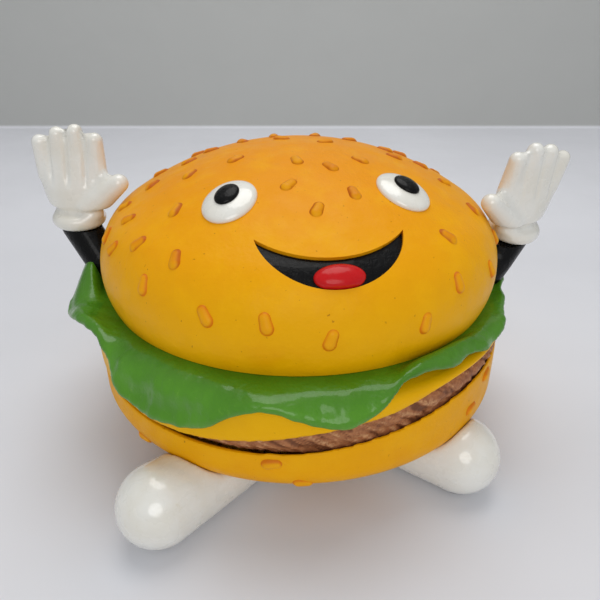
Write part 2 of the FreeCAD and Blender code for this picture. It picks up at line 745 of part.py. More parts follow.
def bowl_solid(inset):
    """The bottom bun filled solid up to the patty's top, its skin moved inwards by the inset."""
    low = bowl_bottom_z + inset
    side_turn = math.asin((patty_top_z - bowl_wide_z) / (bowl_side_radius - inset))
    side = arc_edge(bowl_radius - bowl_side_radius, bowl_wide_z, bowl_side_radius - inset, 0, side_turn)
    shoulder = arc_edge(bowl_radius - bowl_shoulder, bowl_wide_z, bowl_shoulder - inset, bowl_turn, 0)
    under = arc_edge(bowl_flat_radius, bowl_under_z, bowl_under_radius - inset, -math.pi / 2, bowl_turn)
    rim = arc_point(bowl_radius - bowl_side_radius, bowl_wide_z, bowl_side_radius - inset, side_turn)
    return revolve([line((0, 0, low), (bowl_flat_radius, 0, low)), under, shoulder, side,
                    line(rim, (0, 0, patty_top_z)), line((0, 0, patty_top_z), (0, 0, low))])


def rim_cutter():
    """Everything above the wavy rim of the bottom bun."""
    sections = 36
    loops = []
    for radius in (0.5 * bowl_radius, 1.2 * bowl_radius):
        azimuths = [360.0 * i / sections for i in range(sections)]
        points = [ring_point(radius, azimuth, rim_z(azimuth)) for azimuth in azimuths]
        curve = Part.BSplineCurve()
        curve.interpolate(points, PeriodicFlag=True)
        loops.append(curve.toShape())
    return Part.makeRuledSurface(*loops).extrude(V(0, 0, patty_top_z))


def foot_line(side):
    """Centres of the toe and the heel of a front foot."""
    azimuth, reach, length, turn = toes[side]
    toe = ring_point(bowl_radius + reach, azimuth, toe_radius)
    inwards = math.copysign(turn, -azimuth)
    return toe, toe - ring_point(length, -inwards, 0)


def rear_foot_places():
    return [(sx * rear_foot_place[0], rear_foot_place[1]) for sx in (-1, 1)]


def foot_screw_places():
    places = []
    for side in toes:
        toe, heel = foot_line(side)
        spot = heel + (toe - heel).normalize() * 3 * boss_radius
        places += [(heel.x, heel.y), (spot.x, spot.y)]
    return places + rear_foot_places()


def foot_seat_z():
    return floor_z + foot_boss_rise


def make_bottom_bun():
    cavity = bowl_solid(bowl_wall).common(cylinder(2 * bowl_radius, 0, patty_bottom_z))
    shell = bowl_solid(0).cut([cavity, cylinder(rim_inner, patty_bottom_z, 2 * patty_top_z)])
    shell = shell.cut(cylinder(patty_inner, patty_bottom_z - 1, patty_bottom_z + 1))
    trim = bowl_solid(bowl_wall / 2)
    tubes = [cylinder(boss_radius, bowl_bottom_z, base_boss_z(), x, y).common(trim)
             for x, y in post_places(base_post_place)]
    tubes += [cylinder(boss_radius, bowl_bottom_z, foot_seat_z(), x, y).common(trim)
              for x, y in foot_screw_places()]
    bowl = union(shell, tubes).cut(rim_cutter())
    holes = []
    for x, y in post_places(base_post_place):
        holes.append(cylinder(screw_radius + fit_gap, 0, base_boss_z(), x, y))
        holes.append(cylinder(screw_head_radius + fit_gap, 0, base_screw_seat_z(), x, y))
    holes += [cylinder(screw_radius + fit_gap, 0, foot_seat_z(), x, y) for x, y in foot_screw_places()]
    for i in (-1, 0, 1):
        slot = box(0.8 * ringer_radius, 1.8, 0, floor_z + 1, 0, ringer_y - 4 + 4 * i)
        holes.append(slot)
    return bowl.cut(holes)


def base_boss_z():
    return plate_low_z - 8.0


def base_screw_seat_z():
    return floor_z + 3.0


def bowl_frame(azimuth, z):
    """Local frame on the side of the bottom bun: X level, Z outwards."""
    if z > bowl_wide_z:
        arc = (bowl_radius - bowl_side_radius, bowl_wide_z, bowl_side_radius)
    elif z > bowl_wide_z + bowl_shoulder * math.sin(bowl_turn):
        arc = (bowl_radius - bowl_shoulder, bowl_wide_z, bowl_shoulder)
    else:
        arc = (bowl_flat_radius, bowl_under_z, bowl_under_radius)
    slope = math.asin((z - arc[1]) / arc[2])
    spot = arc_point(*arc, slope)
    normal = ring_point(math.cos(slope), azimuth, math.sin(slope))
    level = ring_point(1, azimuth + 90, 0)
    return frame_matrix(level, normal.cross(level), normal, ring_point(spot.x, azimuth, spot.z))


def make_bottom_seeds():
    filled = bowl_solid(0)
    loose = [seed(bowl_frame(azimuth, bowl_wide_z + rise), azimuth % 30 - 15) for azimuth, rise in bowl_seeds]
    return Part.makeCompound([drop.cut(filled) for drop in loose])


def make_patty():
    low = patty_bottom_z
    top = patty_top_z
    ledge = plate_low_z - fit_gap
    soft = 3.0
    points = [(patty_inner, low), (patty_radius - 1, low), (patty_radius, low + soft),
              (patty_radius, top - soft), (patty_radius - soft / 3, top - soft / 3), (patty_radius - soft, top),
              (patty_inner + patty_ledge, top), (patty_inner + patty_ledge, ledge), (patty_inner, ledge)]
    ring = polygon_revolve(points)
    outer = base_leaf_span()[1]
    flat = box(2 * (outer + fit_gap), hinge_y, base_leaf_low_z(), 2 * top, 0, base_leaf_flat_y() + hinge_y / 2)
    return ring.cut(flat)


def make_cheese():
    half = cheese_thickness / 2
    middle = cheese_low_z + half
    skirt = cheese_inner + cheese_skirt / 2
    bend = patty_radius - 4.0

    def strips(azimuth):
        droop = waves(azimuth, cheese_corners, corner_power, 1)
        edge = (skirt, cheese_low_z - cheese_edge_drop - droop)
        inner_low = (cheese_opening, cheese_low_z)
        inner_top = (cheese_opening, cheese_top_z)
        shoulder = (cheese_outer, cheese_low_z - 1.2)
        armpit = (cheese_inner, cheese_low_z - 1.2)
        top_bend = [(bend, cheese_top_z), (cheese_outer, cheese_top_z), shoulder]
        low_bend = [armpit, (cheese_inner, cheese_low_z), (bend, cheese_low_z)]
        outer_edge = (cheese_outer, edge[1])
        inner_edge = (cheese_inner, edge[1])
        tip = [outer_edge, (skirt, edge[1] - 0.8), inner_edge]
        return [[inner_low, inner_top], [inner_top, top_bend[0]], top_bend, [shoulder, outer_edge], tip,
                [inner_edge, armpit], low_bend, [low_bend[-1], inner_low]]

    ring = ring_solid(strips, 48)
    outer = base_leaf_span()[1] + run_gap
    return ring.cut(box(2 * outer, hinge_y, 0, 2 * cheese_top_z, 0, base_leaf_flat_y() - run_gap + hinge_y / 2))


# Keypad, board and switches

def key_places():
    places = []
    for y, names in zip(key_rows, key_names):
        for x, name in zip(key_columns, names):
            places.append(("key_" + name, x, y, key_width, key_depth))
    for name, x in function_keys:
        places.append(("key_" + name, x, function_row, function_width, function_depth))
    return places


def board_post_places():
    x = board_half_x - 4.0
    return [(sx * x, y) for sx in (-1, 1) for y in (board_y[0] + 4, board_y[1] - 9)]


def make_keypad_plate():
    disc = cylinder(keypad_radius, plate_low_z, patty_top_z)
    bosses = [cylinder(boss_radius, base_boss_z() + fit_gap, plate_low_z, x, y)
              for x, y in post_places(base_post_place)]
    bosses += [cylinder(2.6, board_top_z, plate_low_z, x, y) for x, y in board_post_places()]
    bosses.append(tube(microphone_radius + 3.4, microphone_radius + 2.0, plate_low_z - 4, plate_low_z,
                       0, microphone_y))
    plate = union(disc, bosses)
    cuts = []
    for name, x, y, width, depth in key_places():
        cuts.append(rounded_box(width + 2 * key_gap, depth + 2 * key_gap, plate_low_z, patty_top_z, x, y, 2.0))
    for name, x in switch_places:
        cuts.append(box(3 + 2 * key_gap, 5 + knob_travel + 2 * key_gap, plate_low_z, patty_top_z, x,
                        switch_y + knob_travel / 2))
    cuts.append(cylinder(hook_radius + bore_gap, plate_low_z, patty_top_z, 0, hook_y))
    for i in range(5):
        x = 2.2 * math.cos(2 * math.pi * i / 5)
        y = microphone_y + 2.2 * math.sin(2 * math.pi * i / 5)
        cuts.append(cylinder(0.7, plate_low_z, patty_top_z, x, y))
    for x, y in post_places(base_post_place):
        cuts.append(cylinder(screw_radius + bore_gap, 0, plate_low_z, x, y))
    for x, y in board_post_places():
        cuts.append(cylinder(screw_radius + bore_gap, 0, plate_low_z - 1, x, y))
    return plate.cut(cuts)


def make_key(x, y, width, depth):
    flange_top = plate_low_z - key_gap
    flange_low = key_flange_low_z
    cap = rounded_box(width, depth, flange_top, patty_top_z + key_rise, x, y, 1.8)
    rim = [e for e in cap.Edges if e.BoundBox.ZMin > patty_top_z + key_rise - 0.01]
    cap = cap.makeFillet(0.6, rim)
    flange = box(width + 1.4, depth + 1.4, flange_low, flange_top, x, y)
    stem = cylinder(key_stem_radius, mat_top_z + key_travel + 2 * run_gap, flange_low, x, y)
    return union(cap, [flange, stem])


def make_key_mat():
    dome_top = key_flange_low_z - key_travel - run_gap
    first = function_row - function_depth
    last = key_rows[0] + key_depth / 2 + 1
    width = 2 * (key_columns[2] + key_width / 2 + 0.5)
    sheet = box(width, last - first, board_top_z, mat_top_z, 0, (first + last) / 2)
    domes = [tube(key_stem_radius + 1.6, key_stem_radius + 0.6, mat_top_z, dome_top, x, y)
             for name, x, y, key_x, key_y in key_places()]
    return union(sheet, domes)


def make_main_board():
    board = box(2 * board_half_x, board_y[1] - board_y[0], board_low_z, board_top_z, 0, sum(board_y) / 2)
    holes = [cylinder(screw_radius + fit_gap, board_low_z, board_top_z, x, y) for x, y in board_post_places()]
    holes.append(cylinder(hook_radius + key_gap, board_low_z, board_top_z, 0, hook_y))
    return board.cut(holes)


def make_board_components():
    top = board_low_z
    pieces = [box(14, 8, top - 3, top, 0, 0), box(8, 5, top - 2.4, top, 14, 8)]
    pieces.append(box(12, 12, top - 10, top, -16, -14))
    pieces += [cylinder(3.0, top - 9, top, x, -18) for x in (2, 10, 18)]
    return Part.makeCompound(pieces)


def make_hook_switch():
    body = box(14, 8, board_low_z - 8, board_low_z, 0, hook_y)
    return body.cut(cylinder(hook_radius + key_gap, board_low_z - 2.4, board_low_z, 0, hook_y))


def make_hook_plunger():
    low = board_low_z - 2.0
    top = lid_low_z - key_gap
    shaft = cylinder(hook_radius, low, top, 0, hook_y)
    tip = [e for e in shaft.Edges if e.BoundBox.ZMin > top - 0.01]
    collar_low = board_top_z + key_gap
    collar = cylinder(hook_radius + 1.3, collar_low, collar_low + hook_collar, 0, hook_y)
    return union(shaft.makeFillet(0.8, tip), [collar])


def make_slide_switch(x):
    return box(7, 13, board_top_z, plate_low_z - 2.6, x, switch_y + knob_travel / 2)


def make_slide_knob(x):
    low = plate_low_z - 2.6 + key_gap
    flange = box(5, 11, low, plate_low_z - key_gap, x, switch_y)
    lever = rounded_box(3, 5, plate_low_z - key_gap, patty_top_z + 1.4, x, switch_y, 0.7)
    return union(flange, [lever])


def make_microphone():
    top = plate_low_z - fit_gap
    return cylinder(microphone_radius, top - microphone_height, top, 0, microphone_y)


def make_microphone_boot():
    top = plate_low_z - fit_gap
    return tube(microphone_radius + 2.0 - fit_gap, microphone_radius + fit_gap, top - microphone_height, top,
                0, microphone_y)


def make_ringer():
    low = floor_z
    cup = tube(ringer_radius, ringer_radius - 1.2, low, low + ringer_height, 0, ringer_y)
    disc = cylinder(ringer_radius - 1.2, low + 2.4, low + 3.4, 0, ringer_y)
    return union(cup, [disc])


def make_line_jack():
    """Line socket under the bottom bun, open to the rear."""
    top = bowl_bottom_z
    low = top - jack_height
    body = box(jack_width, jack_depth, low, top, 0, jack_rear_y - jack_depth / 2)
    cavity = box(jack_width - 2 * jack_wall, jack_depth - 2, low + jack_wall, top - jack_wall,
                 0, jack_rear_y - jack_depth / 2 + 1)
    return body.cut(cavity)


def make_ballast_plate():
    return rounded_box(ballast_size[0], ballast_size[1], floor_z, floor_z + ballast_size[2], 0, ballast_y, 4.0)


def make_base_screws():
    """All screws of the base: bowl to keypad plate, board, and feet."""
    screws = [screw(x, y, base_screw_seat_z(), base_boss_z() + 6) for x, y in post_places(base_post_place)]
    screws += [screw(x, y, board_low_z, board_top_z + 4) for x, y in board_post_places()]
    screws += [screw(x, y, foot_seat_z(), foot_seat_z() - long_screw) for x, y in foot_screw_places()]
    return Part.makeCompound(screws)


# Feet

def make_foot(side):
    """Club-shaped foot: a capsule cut flat for its pad and cut to lie against the bottom bun."""
    toe, heel = foot_line(side)
    club = capsule(toe, heel, toe_radius, heel_radius)
    below = box(4 * bowl_radius, 4 * bowl_radius, -toe_radius, pad_height)
    foot = club.cut([below, bowl_solid(-fit_gap)])
    pilots = [cylinder(screw_radius + bore_gap, foot_seat_z() - long_screw - 1, foot_seat_z(), px, py)
              for px, py in foot_screw_places()]
    return foot.cut(pilots)


def make_rear_feet():
    feet = []
    for x, y in rear_foot_places():
        height = bowl_wide_z - pad_height
        foot = Part.makeCone(rear_foot_radius - 1, rear_foot_radius, height, V(x, y, pad_height))
        pilot = cylinder(screw_radius + bore_gap, foot_seat_z() - long_screw - 1, foot_seat_z(), x, y)
        feet.append(foot.cut([bowl_solid(-fit_gap), pilot]))
    return Part.makeCompound(feet)


def make_foot_pads():
    toe_places = [foot_line(side)[0] for side in toes]
    places = [(toe.x, toe.y) for toe in toe_places] + rear_foot_places()
    return Part.makeCompound([cylinder(pad_radius, 0, pad_height, x, y) for x, y in places])


def all_parts():
    parts = {
        "top_bun": make_top_bun(), "top_seeds": make_top_seeds(), "lettuce": make_lettuce(),
        "lid_plate": make_lid_plate(), "lid_screws": make_lid_screws(), "receiver": make_receiver(),
        "receiver_gasket": make_receiver_gasket(), "receiver_clamp": make_receiver_clamp(),
        "lid_hinge_leaf": make_lid_hinge_leaf(), "mouth_liner": make_mouth_liner(), "tongue": make_tongue(),
        "bottom_bun": make_bottom_bun(), "bottom_seeds": make_bottom_seeds(),
        "patty": make_patty(), "cheese": make_cheese(), "base_hinge_leaf": make_base_hinge_leaf(),
        "hinge_pin": make_hinge_pin(), "keypad_plate": make_keypad_plate(), "key_mat": make_key_mat(),
        "main_board": make_main_board(),
        "board_components": make_board_components(), "hook_switch": make_hook_switch(),
        "hook_plunger": make_hook_plunger(), "microphone": make_microphone(),
        "microphone_boot": make_microphone_boot(), "ringer": make_ringer(), "line_jack": make_line_jack(),
        "ballast_plate": make_ballast_plate(), "base_screws": make_base_screws(), "rear_feet": make_rear_feet(),
        "foot_pads": make_foot_pads(),
    }
    for side in ("left", "right"):
        eye = make_eye(side)
        arm = make_arm(side)
        glove = make_glove(side)
        parts["eye_" + side] = eye
        parts["pupil_" + side] = make_pupil(side, eye)
        parts["arm_" + side] = arm if side == "left" else mirrored(arm)
        parts["glove_" + side] = glove if side == "left" else mirrored(glove)
        parts["foot_" + side] = make_foot(side)
    for name, x in switch_places:
        parts[name + "_switch"] = make_slide_switch(x)
        parts[name + "_knob"] = make_slide_knob(x)
    for name, x, y, width, depth in key_places():
        parts[name] = make_key(x, y, width, depth)
    return parts


if __name__ == "__main__":
    os.makedirs("parts", exist_ok=True)
    for node, shape in all_parts().items():
        shape.exportStep("parts/" + node + ".step")
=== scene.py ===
import json
import math

import bmesh
import bpy
from mathutils import Matrix, Vector, noise

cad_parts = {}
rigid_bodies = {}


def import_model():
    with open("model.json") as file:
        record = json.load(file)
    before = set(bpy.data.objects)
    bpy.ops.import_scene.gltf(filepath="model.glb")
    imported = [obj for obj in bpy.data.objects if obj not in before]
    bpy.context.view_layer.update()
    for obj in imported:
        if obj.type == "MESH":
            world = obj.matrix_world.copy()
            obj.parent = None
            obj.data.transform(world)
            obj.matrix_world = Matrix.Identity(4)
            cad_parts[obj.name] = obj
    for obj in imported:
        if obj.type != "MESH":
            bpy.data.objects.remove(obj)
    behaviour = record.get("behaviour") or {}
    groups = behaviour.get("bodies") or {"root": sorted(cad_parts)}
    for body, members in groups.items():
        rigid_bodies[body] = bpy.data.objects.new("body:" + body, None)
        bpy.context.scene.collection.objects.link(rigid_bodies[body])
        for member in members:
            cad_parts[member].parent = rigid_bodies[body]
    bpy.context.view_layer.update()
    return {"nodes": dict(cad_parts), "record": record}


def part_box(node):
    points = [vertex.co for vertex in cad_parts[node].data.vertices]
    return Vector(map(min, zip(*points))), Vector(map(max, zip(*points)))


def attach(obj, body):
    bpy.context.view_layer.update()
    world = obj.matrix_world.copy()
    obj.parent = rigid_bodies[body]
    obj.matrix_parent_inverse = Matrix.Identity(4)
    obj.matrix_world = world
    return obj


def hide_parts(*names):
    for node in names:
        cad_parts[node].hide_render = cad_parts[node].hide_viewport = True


for start_object in list(bpy.data.objects):
    bpy.data.objects.remove(start_object)

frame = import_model()
nodes = frame["nodes"]
record = frame["record"]
body_of = {node: body for body, members in record["behaviour"]["bodies"].items() for node in members}
slot_of = {row["node"]: row["material_slot"] for row in record["subparts"]}

MM = 0.001


def clamped(value, low=0.0, high=1.0):
    return min(max(value, low), high)


def added(name, data):
    """A new object of the scene."""
    piece = bpy.data.objects.new(name, data)
    bpy.context.scene.collection.objects.link(piece)
    return piece


def srgb(red, green, blue):
    """Shader colour of an 8-bit display colour."""
    channels = []
    for value in (red, green, blue):
        share = value / 255
        channels.append(share / 12.92 if share <= 0.04045 else ((share + 0.055) / 1.055) ** 2.4)
    return (*channels, 1.0)


# Materials

# Most values of a noise lie between these
noise_low, noise_high = 0.3, 0.7


class Paint:
    """A procedural material on one Principled shader, laid out in the piece's own coordinates."""

    # Sockets of the Mix node for colours
    mix_factor, mix_first, mix_second, mix_result = 0, 6, 7, 2

    def __init__(self, name, **sockets):
        self.material = bpy.data.materials.new(name)
        self.material.use_nodes = True
        self.tree = self.material.node_tree
        self.shader = self.tree.nodes["Principled BSDF"]
        self.place = self.node("ShaderNodeTexCoord").outputs["Object"]
        for socket, value in sockets.items():
            self.shader.inputs[socket.replace("_", " ")].default_value = value

    def node(self, kind):
        return self.tree.nodes.new(kind)

    def feed(self, socket, value):
        if isinstance(value, bpy.types.NodeSocket):
            self.tree.links.new(value, socket)
        else:
            socket.default_value = value

    def noise(self, size, detail=3.0, rough=0.5, stretch=None, twist=0.0):
        """Soft noise whose features are about size metres."""
        node = self.node("ShaderNodeTexNoise")
        node.inputs["Scale"].default_value = 1 / size
        node.inputs["Detail"].default_value = detail
        node.inputs["Roughness"].default_value = rough
        node.inputs["Distortion"].default_value = twist
        self.tree.links.new(self.stretched(stretch), node.inputs["Vector"])
        return node.outputs["Fac"]

    def patches(self, size, detail=3.0):
        """Noise laid out from 0 to 1."""
        return self.spread(self.noise(size, detail), noise_low, noise_high)

    def wavering_height(self, size, sway):
        """Height above the floor with a noise of up to sway added."""
        return self.math("ADD", self.axis("Z"), self.math("MULTIPLY", self.noise(size), sway))

    def cells(self, size):
        """Distance to the nearest of scattered points."""
        node = self.node("ShaderNodeTexVoronoi")
        node.inputs["Scale"].default_value = 1 / size
        self.tree.links.new(self.place, node.inputs["Vector"])
        return node.outputs["Distance"]

    def stretched(self, stretch):
        if stretch is None:
            return self.place
        node = self.node("ShaderNodeMapping")
        node.inputs["Scale"].default_value = stretch
        self.tree.links.new(self.place, node.inputs["Vector"])
        return node.outputs["Vector"]

    def axis(self, name, vector=None):
        node = self.node("ShaderNodeSeparateXYZ")
        self.tree.links.new(vector or self.place, node.inputs["Vector"])
        return node.outputs[name]

    def normal(self, name):
        return self.axis(name, self.node("ShaderNodeTexCoord").outputs["Normal"])

    def facing(self, centre):
        """How far the surface looks straight away from a centre."""
        away = self.node("ShaderNodeVectorMath")
        away.operation = "SUBTRACT"
        self.tree.links.new(self.place, away.inputs[0])
        away.inputs[1].default_value = centre
        unit = self.node("ShaderNodeVectorMath")
        unit.operation = "NORMALIZE"
        self.tree.links.new(away.outputs[0], unit.inputs[0])
        dot = self.node("ShaderNodeVectorMath")
        dot.operation = "DOT_PRODUCT"
        self.tree.links.new(unit.outputs[0], dot.inputs[0])
        self.tree.links.new(self.node("ShaderNodeTexCoord").outputs["Normal"], dot.inputs[1])
        return dot.outputs["Value"]

    def spread(self, value, low, high, to_low=0.0, to_high=1.0):
        """Value from low to high, laid out from to_low to to_high."""
        node = self.node("ShaderNodeMapRange")
        node.interpolation_type = "SMOOTHSTEP"
        self.feed(node.inputs["Value"], value)
        node.inputs["From Min"].default_value = low
        node.inputs["From Max"].default_value = high
        node.inputs["To Min"].default_value = to_low
        node.inputs["To Max"].default_value = to_high
        return node.outputs["Result"]

    def math(self, operation, first, second):
        node = self.node("ShaderNodeMath")
        node.operation = operation
        self.feed(node.inputs[0], first)
        self.feed(node.inputs[1], second)
        return node.outputs[0]

    def mix(self, factor, first, second):
        node = self.node("ShaderNodeMix")
        node.data_type = "RGBA"
        self.feed(node.inputs[self.mix_factor], factor)
        self.feed(node.inputs[self.mix_first], first)
        self.feed(node.inputs[self.mix_second], second)
        return node.outputs[self.mix_result]

    def colour(self, value):
        self.feed(self.shader.inputs["Base Color"], value)

    def rough(self, low, high, size):
        """Gloss that varies over the surface."""
        gloss = self.spread(self.noise(size), noise_low, noise_high, low, high)
        self.feed(self.shader.inputs["Roughness"], gloss)

    def bump(self, *layers):
        """Fine relief; each layer is a height field and its depth in metres."""
        below = None
        for height, depth in layers:
            node = self.node("ShaderNodeBump")
            node.inputs["Distance"].default_value = depth
            self.feed(node.inputs["Height"], height)
            if below is not None:
                self.tree.links.new(below, node.inputs["Normal"])
            below = node.outputs["Normal"]
        self.tree.links.new(below, self.shader.inputs["Normal"])


def bun_paint(name, low_colour, high_colour, low_z, high_z):
    """Hand-brushed egg yellow that turns orange towards the top, with fine dark specks."""
    bright = srgb(246, 186, 8)
    amber = srgb(222, 140, 0)
    speck = srgb(150, 88, 8)
    paint = Paint(name, Specular_IOR_Level=0.12)
    height = paint.wavering_height(28 * MM, 14 * MM)
    wash = paint.mix(paint.spread(height, low_z, high_z), low_colour, high_colour)
    bright_spots = paint.spread(paint.noise(9 * MM, detail=5.0, rough=0.6), 0.42, 0.75, to_high=0.3)
    amber_spots = paint.spread(paint.noise(16 * MM, detail=4.0, rough=0.6), 0.52, 0.8, to_high=0.25)
    specks = paint.spread(paint.noise(1.1 * MM, detail=2.0), 0.71, 0.77, to_high=0.6)
    brushed = paint.mix(amber_spots, paint.mix(bright_spots, wash, bright), amber)
    paint.colour(paint.mix(specks, brushed, speck))
    paint.rough(0.36, 0.5, 6 * MM)
    paint.bump((paint.noise(0.8 * MM, detail=4.0, rough=0.6), 0.09 * MM), (paint.noise(8 * MM), 0.5 * MM))
    return paint.material


def seed_paint():
    """The bun's yellow with an orange airbrushed upper side, and painted shade round each seed's flank that
    darkens high up.
    """
    light, dark = srgb(240, 172, 8), srgb(230, 154, 2)
    toast = srgb(214, 122, 10)
    # Colours of the painted shade round each seed, low and high on the bun
    low_crease_shade, high_crease_shade = srgb(218, 116, 10), srgb(178, 84, 6)
    bun_middle = (0, 0, 45 * MM)
    paint = Paint("seed_paint_look", Specular_IOR_Level=0.14)
    base = paint.mix(paint.noise(2.2 * MM), light, dark)
    upper_side = paint.spread(paint.normal("Z"), 0.2, 0.95)
    burnt = paint.math("MULTIPLY", upper_side, paint.spread(paint.noise(14 * MM), 0.35, 0.65, 0.2, 0.8))
    # Painted shade: a band round each seed's steep flank, where it meets the bun, darker high up on the bun
    outline = paint.spread(paint.facing(bun_middle), 0.9, 0.6, to_high=0.85)
    high_up = paint.spread(paint.axis("Z"), 66 * MM, 86 * MM)
    edge = paint.mix(high_up, low_crease_shade, high_crease_shade)
    paint.colour(paint.mix(outline, paint.mix(burnt, base, toast), edge))
    paint.rough(0.36, 0.5, 2 * MM)
    paint.bump((paint.noise(0.6 * MM), 0.05 * MM))
    return paint.material


def lettuce_paint():
    """Satin green with painted shade up under the bun and pale streaks of painted highlight."""
    dark, light = srgb(74, 134, 20), srgb(84, 146, 28)
    # pale is the colour of the painted highlight streaks, shadow that of the painted shade under the bun
    pale = srgb(122, 176, 60)
    shadow = srgb(58, 108, 14)
    paint = Paint("lettuce_green_look", Specular_IOR_Level=0.2, Coat_Weight=0.5, Coat_Roughness=0.1)
    base = paint.mix(paint.patches(12 * MM), dark, light)
    streaks = paint.noise(2.0 * MM, detail=5.0, rough=0.65, stretch=(1, 1, 0.45), twist=0.6)
    # Pale streaks of painted highlight
    painted_highlights = paint.spread(streaks, 0.6, 0.76, to_high=0.35)
    # Painted shade: darker green up under the bun, where the leaf tucks in
    root = paint.spread(paint.wavering_height(10 * MM, 6 * MM), 51 * MM, 57 * MM, to_high=0.4)
    paint.colour(paint.mix(root, paint.mix(painted_highlights, base, pale), shadow))
    paint.rough(0.3, 0.44, 4 * MM)
    brush_lines = paint.noise(1.1 * MM, detail=4.0, rough=0.6, stretch=(1, 1, 0.2))
    paint.bump((brush_lines, 0.12 * MM), (paint.noise(5 * MM), 0.9 * MM))
    return paint.material


def cheese_paint():
    """Plain yellow with a few specks."""
    light, dark = srgb(244, 186, 0), srgb(234, 172, 0)
    speck = srgb(178, 118, 6)
    paint = Paint("cheese_yellow_look", Specular_IOR_Level=0.12)
    base = paint.mix(paint.noise(8 * MM, detail=4.0), light, dark)
    specks = paint.spread(paint.noise(1.3 * MM, detail=2.0), 0.72, 0.78, to_high=0.4)
    paint.colour(paint.mix(specks, base, speck))
    paint.rough(0.34, 0.48, 5 * MM)
    paint.bump((paint.noise(1.0 * MM), 0.05 * MM), (paint.noise(9 * MM), 0.3 * MM))
    return paint.material


carving_name = "carving"


def patty_paint():
    """Brown with painted shade darkening the carved hollows and painted light-brown highlights on the raised parts
    between them.
    """
    dark, light = srgb(150, 92, 56), srgb(178, 118, 76)
    # Light brown of the painted highlights on the raised parts
    highlight_tan = srgb(206, 156, 110)
    # Dark brown of the painted shade in the carved hollows
    wash = srgb(96, 54, 32)
    paint = Paint("patty_brown_look", Specular_IOR_Level=0.3)
    carving = paint.node("ShaderNodeAttribute")
    carving.attribute_name = carving_name
    depth = carving.outputs["Fac"]
    grain = paint.noise(1.6 * MM, detail=5.0, rough=0.65)
    base = paint.mix(paint.spread(grain, 0.35, 0.65), dark, light)
    # Noise that breaks up the painted highlights on the raised parts
    highlight_patches = paint.spread(paint.noise(1.0 * MM, detail=4.0), 0.4, 0.6)
    # Painted highlight on the raised parts between the strokes
    painted_highlights = paint.math("MULTIPLY", paint.spread(depth, 0.5, 0.05), highlight_patches)
    # Painted shade in the carved hollows
    hollows = paint.spread(depth, 0.5, 0.98, to_high=0.8)
    paint.colour(paint.mix(hollows, paint.mix(painted_highlights, base, highlight_tan), wash))
    paint.rough(0.5, 0.7, 3 * MM)
    paint.bump((grain, 0.25 * MM))
    return paint.material


def white_paint():
    """Cream semi-gloss white, warmer where it is brushed thin."""
    light, dark = srgb(234, 233, 226), srgb(228, 225, 214)
    cream = srgb(214, 204, 176)
    paint = Paint("white_gloss_look", Coat_Weight=0.8, Coat_Roughness=0.08)
    base = paint.mix(paint.spread(paint.noise(11 * MM, detail=4.0), 0.35, 0.7), light, dark)
    thin = paint.spread(paint.noise(5 * MM, detail=5.0, rough=0.65), 0.6, 0.78, to_high=0.4)
    paint.colour(paint.mix(thin, base, cream))
    paint.rough(0.2, 0.36, 6 * MM)
    paint.bump((paint.noise(1.4 * MM), 0.05 * MM), (paint.noise(9 * MM), 0.4 * MM))
    return paint.material


def black_paint():
    """Gloss black over an uneven surface."""
    paint = Paint("black_gloss_look", Specular_IOR_Level=0.1, Coat_Weight=0.14, Coat_Roughness=0.04)
    paint.colour(paint.mix(paint.noise(5 * MM, detail=4.0), srgb(4, 4, 4), srgb(10, 10, 10)))
    paint.rough(0.22, 0.4, 2 * MM)
    paint.bump((paint.noise(1.6 * MM, detail=4.0, rough=0.6), 0.3 * MM))
    return paint.material


def red_paint():
    """Gloss red."""
    paint = Paint("tongue_red_look", Specular_IOR_Level=0.15, Coat_Weight=0.2, Coat_Roughness=0.06)
    paint.colour(paint.mix(paint.noise(4 * MM), srgb(184, 12, 18), srgb(204, 24, 26)))
    paint.rough(0.16, 0.3, 3 * MM)
    paint.bump((paint.noise(1.5 * MM), 0.08 * MM))
    return paint.material


def moulding(name, first, second, low, high, grain=0.25 * MM, depth=0.03 * MM):
    """Moulded plastic with a spark-eroded grain and slight shade changes."""
    paint = Paint(name)
    paint.colour(paint.mix(paint.patches(7 * MM, detail=5.0), first, second))
    paint.rough(low, high, 3 * MM)
    paint.bump((paint.cells(grain), depth), (paint.noise(4 * MM), 0.05 * MM))
    return paint.material


def metal(name, first, second, low, high, stretch):
    """Plated metal with fine drawn lines."""
    paint = Paint(name, Metallic=1.0)
    lines = paint.noise(0.5 * MM, rough=0.6, stretch=stretch)
    paint.colour(paint.mix(paint.spread(lines, noise_low, noise_high), first, second))
    paint.rough(low, high, 1.5 * MM)
    paint.bump((lines, 0.004 * MM))
    return paint.material


def board_paint():
    """Solder mask over faint copper runs."""
    pitch = 24 * MM
    shade = srgb(12, 70, 34)
    paint = Paint("board_green_look", Coat_Weight=0.3, Coat_Roughness=0.2)
    runs = paint.node("ShaderNodeTexBrick")
    runs.inputs["Scale"].default_value = 1 / pitch
    runs.inputs["Color1"].default_value = srgb(16, 92, 46)
    runs.inputs["Color2"].default_value = srgb(20, 104, 52)
    runs.inputs["Mortar"].default_value = srgb(44, 134, 72)
    paint.tree.links.new(paint.place, runs.inputs["Vector"])
    shades = paint.spread(paint.noise(3 * MM), noise_low, noise_high, to_high=0.3)
    paint.colour(paint.mix(shades, runs.outputs["Color"], shade))
    paint.rough(0.3, 0.45, 4 * MM)
    paint.bump((runs.outputs["Fac"], 0.04 * MM))
    return paint.material


